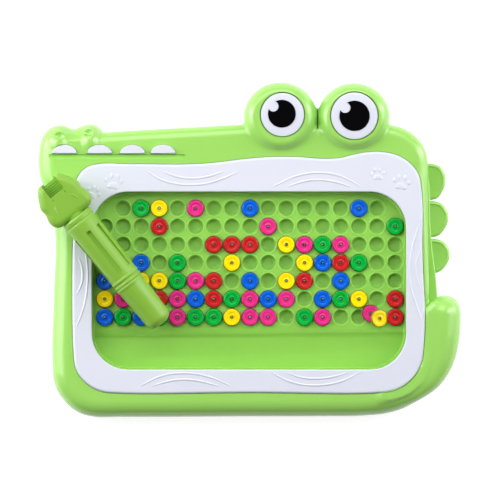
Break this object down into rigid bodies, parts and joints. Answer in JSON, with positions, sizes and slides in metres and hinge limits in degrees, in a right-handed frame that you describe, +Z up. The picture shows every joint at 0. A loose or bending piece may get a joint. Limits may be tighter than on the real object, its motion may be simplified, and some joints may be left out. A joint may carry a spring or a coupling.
{
  "type": "magnetic drawing board",
  "caption": "Flat crocodile-shaped drawing board with a clear window over dimpled rows of coloured beads, a lower trough, and a fluted magnet pen lying on it.",
  "frame": {"origin": "middle of the flat base that the board lies on", "axes": "+Z up out of the window, +X towards the crocodile's tail, +Y towards its eyes"},
  "size_m": [0.3045, 0.2415, 0.0504],
  "materials": {
    "body_green": "moulded, soft gloss",
    "tray_green": "moulded, satin",
    "pen_green": "moulded, soft gloss",
    "bezel_white": "moulded, soft gloss",
    "pupil_black": "moulded, gloss",
    "window_clear": "clear, polished",
    "steel": "zinc plated",
    "magnet_grey": "sintered",
    "bead_red": "moulded, gloss",
    "bead_yellow": "moulded, gloss",
    "bead_green": "moulded, gloss",
    "bead_blue": "moulded, gloss",
    "bead_pink": "moulded, gloss"
  },
  "bodies": {
    "board": {"rear_cover": "body_green", "front_shell": "body_green", "bezel": "bezel_white", "window": "window_clear", "bead_tray": "tray_green", "tooth_strip": "bezel_white", "eye_white_left": "bezel_white", "eye_white_right": "bezel_white", "pupil_left": "pupil_black", "pupil_right": "pupil_black", "screw_snout": "steel", "screw_crown": "steel", "screw_brow": "steel", "screw_tail": "steel", "screw_middle": "steel", "screw_jaw": "steel"},
    "pen": {"pen_head": "pen_green", "pen_barrel": "pen_green", "pen_tip_cap": "pen_green", "pen_magnet": "magnet_grey"},
    "bead_red_1_3": {"bead_red_1_3": "bead_red"},
    "bead_red_2_6": {"bead_red_2_6": "bead_red"},
    "bead_red_2_8": {"bead_red_2_8": "bead_red"},
    "bead_red_3_0": {"bead_red_3_0": "bead_red"},
    "bead_red_3_13": {"bead_red_3_13": "bead_red"},
    "bead_red_4_6": {"bead_red_4_6": "bead_red"},
    "bead_red_4_11": {"bead_red_4_11": "bead_red"},
    "bead_red_5_3": {"bead_red_5_3": "bead_red"},
    "bead_red_5_16": {"bead_red_5_16": "bead_red"},
    "bead_red_6_16": {"bead_red_6_16": "bead_red"},
    "bead_yellow_0_3": {"bead_yellow_0_3": "bead_yellow"},
    "bead_yellow_2_10": {"bead_yellow_2_10": "bead_yellow"},
    "bead_yellow_3_7": {"bead_yellow_3_7": "bead_yellow"},
    "bead_yellow_4_3": {"bead_yellow_4_3": "bead_yellow"},
    "bead_yellow_5_0": {"bead_yellow_5_0": "bead_yellow"},
    "bead_yellow_5_14": {"bead_yellow_5_14": "bead_yellow"},
    "bead_yellow_6_7": {"bead_yellow_6_7": "bead_yellow"},
    "bead_green_0_2": {"bead_green_0_2": "bead_green"},
    "bead_green_1_16": {"bead_green_1_16": "bead_green"},
    "bead_green_2_12": {"bead_green_2_12": "bead_green"},
    "bead_green_3_4": {"bead_green_3_4": "bead_green"},
    "bead_green_3_14": {"bead_green_3_14": "bead_green"},
    "bead_green_5_7": {"bead_green_5_7": "bead_green"},
    "bead_green_5_13": {"bead_green_5_13": "bead_green"},
    "bead_green_6_1": {"bead_green_6_1": "bead_green"},
    "bead_blue_0_8": {"bead_blue_0_8": "bead_blue"},
    "bead_blue_0_14": {"bead_blue_0_14": "bead_blue"},
    "bead_blue_3_2": {"bead_blue_3_2": "bead_blue"},
    "bead_blue_4_0": {"bead_blue_4_0": "bead_blue"},
    "bead_blue_4_8": {"bead_blue_4_8": "bead_blue"},
    "bead_blue_4_13": {"bead_blue_4_13": "bead_blue"},
    "bead_blue_5_12": {"bead_blue_5_12": "bead_blue"},
    "bead_blue_6_0": {"bead_blue_6_0": "bead_blue"},
    "bead_pink_0_5": {"bead_pink_0_5": "bead_pink"},
    "bead_pink_1_9": {"bead_pink_1_9": "bead_pink"},
    "bead_pink_2_11": {"bead_pink_2_11": "bead_pink"},
    "bead_pink_4_5": {"bead_pink_4_5": "bead_pink"},
    "bead_pink_5_8": {"bead_pink_5_8": "bead_pink"},
    "bead_pink_6_4": {"bead_pink_6_4": "bead_pink"},
    "bead_pink_6_12": {"bead_pink_6_12": "bead_pink"}
  },
  "joints": [
    {"name": "pen_lift", "type": "slide", "parent": "board", "child": "pen", "axis": [0, 0, 1], "range_m": [0, 0.12]},
    {"name": "lift_red_1_3", "type": "slide", "parent": "board", "child": "bead_red_1_3", "axis": [0, 0, 1], "range_m": [0, 0.0024]},
    {"name": "lift_red_2_6", "type": "slide", "parent": "board", "child": "bead_red_2_6", "axis": [0, 0, 1], "range_m": [0, 0.0024]},
    {"name": "lift_red_2_8", "type": "slide", "parent": "board", "child": "bead_red_2_8", "axis": [0, 0, 1], "range_m": [0, 0.0024]},
    {"name": "lift_red_3_0", "type": "slide", "parent": "board", "child": "bead_red_3_0", "axis": [0, 0, 1], "range_m": [0, 0.0024]},
    {"name": "lift_red_3_13", "type": "slide", "parent": "board", "child": "bead_red_3_13", "axis": [0, 0, 1], "range_m": [0, 0.0024]},
    {"name": "lift_red_4_6", "type": "slide", "parent": "board", "child": "bead_red_4_6", "axis": [0, 0, 1], "range_m": [0, 0.0024]},
    {"name": "lift_red_4_11", "type": "slide", "parent": "board", "child": "bead_red_4_11", "axis": [0, 0, 1], "range_m": [0, 0.0024]},
    {"name": "lift_red_5_3", "type": "slide", "parent": "board", "child": "bead_red_5_3", "axis": [0, 0, 1], "range_m": [0, 0.0024]},
    {"name": "lift_red_5_16", "type": "slide", "parent": "board", "child": "bead_red_5_16", "axis": [0, 0, 1], "range_m": [0, 0.0024]},
    {"name": "lift_red_6_16", "type": "slide", "parent": "board", "child": "bead_red_6_16", "axis": [0, 0, 1], "range_m": [0, 0.0024]},
    {"name": "lift_yellow_0_3", "type": "slide", "parent": "board", "child": "bead_yellow_0_3", "axis": [0, 0, 1], "range_m": [0, 0.0024]},
    {"name": "lift_yellow_2_10", "type": "slide", "parent": "board", "child": "bead_yellow_2_10", "axis": [0, 0, 1], "range_m": [0, 0.0024]},
    {"name": "lift_yellow_3_7", "type": "slide", "parent": "board", "child": "bead_yellow_3_7", "axis": [0, 0, 1], "range_m": [0, 0.0024]},
    {"name": "lift_yellow_4_3", "type": "slide", "parent": "board", "child": "bead_yellow_4_3", "axis": [0, 0, 1], "range_m": [0, 0.0024]},
    {"name": "lift_yellow_5_0", "type": "slide", "parent": "board", "child": "bead_yellow_5_0", "axis": [0, 0, 1], "range_m": [0, 0.0024]},
    {"name": "lift_yellow_5_14", "type": "slide", "parent": "board", "child": "bead_yellow_5_14", "axis": [0, 0, 1], "range_m": [0, 0.0024]},
    {"name": "lift_yellow_6_7", "type": "slide", "parent": "board", "child": "bead_yellow_6_7", "axis": [0, 0, 1], "range_m": [0, 0.0024]},
    {"name": "lift_green_0_2", "type": "slide", "parent": "board", "child": "bead_green_0_2", "axis": [0, 0, 1], "range_m": [0, 0.0024]},
    {"name": "lift_green_1_16", "type": "slide", "parent": "board", "child": "bead_green_1_16", "axis": [0, 0, 1], "range_m": [0, 0.0024]},
    {"name": "lift_green_2_12", "type": "slide", "parent": "board", "child": "bead_green_2_12", "axis": [0, 0, 1], "range_m": [0, 0.0024]},
    {"name": "lift_green_3_4", "type": "slide", "parent": "board", "child": "bead_green_3_4", "axis": [0, 0, 1], "range_m": [0, 0.0024]},
    {"name": "lift_green_3_14", "type": "slide", "parent": "board", "child": "bead_green_3_14", "axis": [0, 0, 1], "range_m": [0, 0.0024]},
    {"name": "lift_green_5_7", "type": "slide", "parent": "board", "child": "bead_green_5_7", "axis": [0, 0, 1], "range_m": [0, 0.0024]},
    {"name": "lift_green_5_13", "type": "slide", "parent": "board", "child": "bead_green_5_13", "axis": [0, 0, 1], "range_m": [0, 0.0024]},
    {"name": "lift_green_6_1", "type": "slide", "parent": "board", "child": "bead_green_6_1", "axis": [0, 0, 1], "range_m": [0, 0.0024]},
    {"name": "lift_blue_0_8", "type": "slide", "parent": "board", "child": "bead_blue_0_8", "axis": [0, 0, 1], "range_m": [0, 0.0024]},
    {"name": "lift_blue_0_14", "type": "slide", "parent": "board", "child": "bead_blue_0_14", "axis": [0, 0, 1], "range_m": [0, 0.0024]},
    {"name": "lift_blue_3_2", "type": "slide", "parent": "board", "child": "bead_blue_3_2", "axis": [0, 0, 1], "range_m": [0, 0.0024]},
    {"name": "lift_blue_4_0", "type": "slide", "parent": "board", "child": "bead_blue_4_0", "axis": [0, 0, 1], "range_m": [0, 0.0024]},
    {"name": "lift_blue_4_8", "type": "slide", "parent": "board", "child": "bead_blue_4_8", "axis": [0, 0, 1], "range_m": [0, 0.0024]},
    {"name": "lift_blue_4_13", "type": "slide", "parent": "board", "child": "bead_blue_4_13", "axis": [0, 0, 1], "range_m": [0, 0.0024]},
    {"name": "lift_blue_5_12", "type": "slide", "parent": "board", "child": "bead_blue_5_12", "axis": [0, 0, 1], "range_m": [0, 0.0024]},
    {"name": "lift_blue_6_0", "type": "slide", "parent": "board", "child": "bead_blue_6_0", "axis": [0, 0, 1], "range_m": [0, 0.0024]},
    {"name": "lift_pink_0_5", "type": "slide", "parent": "board", "child": "bead_pink_0_5", "axis": [0, 0, 1], "range_m": [0, 0.0024]},
    {"name": "lift_pink_1_9", "type": "slide", "parent": "board", "child": "bead_pink_1_9", "axis": [0, 0, 1], "range_m": [0, 0.0024]},
    {"name": "lift_pink_2_11", "type": "slide", "parent": "board", "child": "bead_pink_2_11", "axis": [0, 0, 1], "range_m": [0, 0.0024]},
    {"name": "lift_pink_4_5", "type": "slide", "parent": "board", "child": "bead_pink_4_5", "axis": [0, 0, 1], "range_m": [0, 0.0024]},
    {"name": "lift_pink_5_8", "type": "slide", "parent": "board", "child": "bead_pink_5_8", "axis": [0, 0, 1], "range_m": [0, 0.0024]},
    {"name": "lift_pink_6_4", "type": "slide", "parent": "board", "child": "bead_pink_6_4", "axis": [0, 0, 1], "range_m": [0, 0.0024]},
    {"name": "lift_pink_6_12", "type": "slide", "parent": "board", "child": "bead_pink_6_12", "axis": [0, 0, 1], "range_m": [0, 0.0024]}
  ]
}
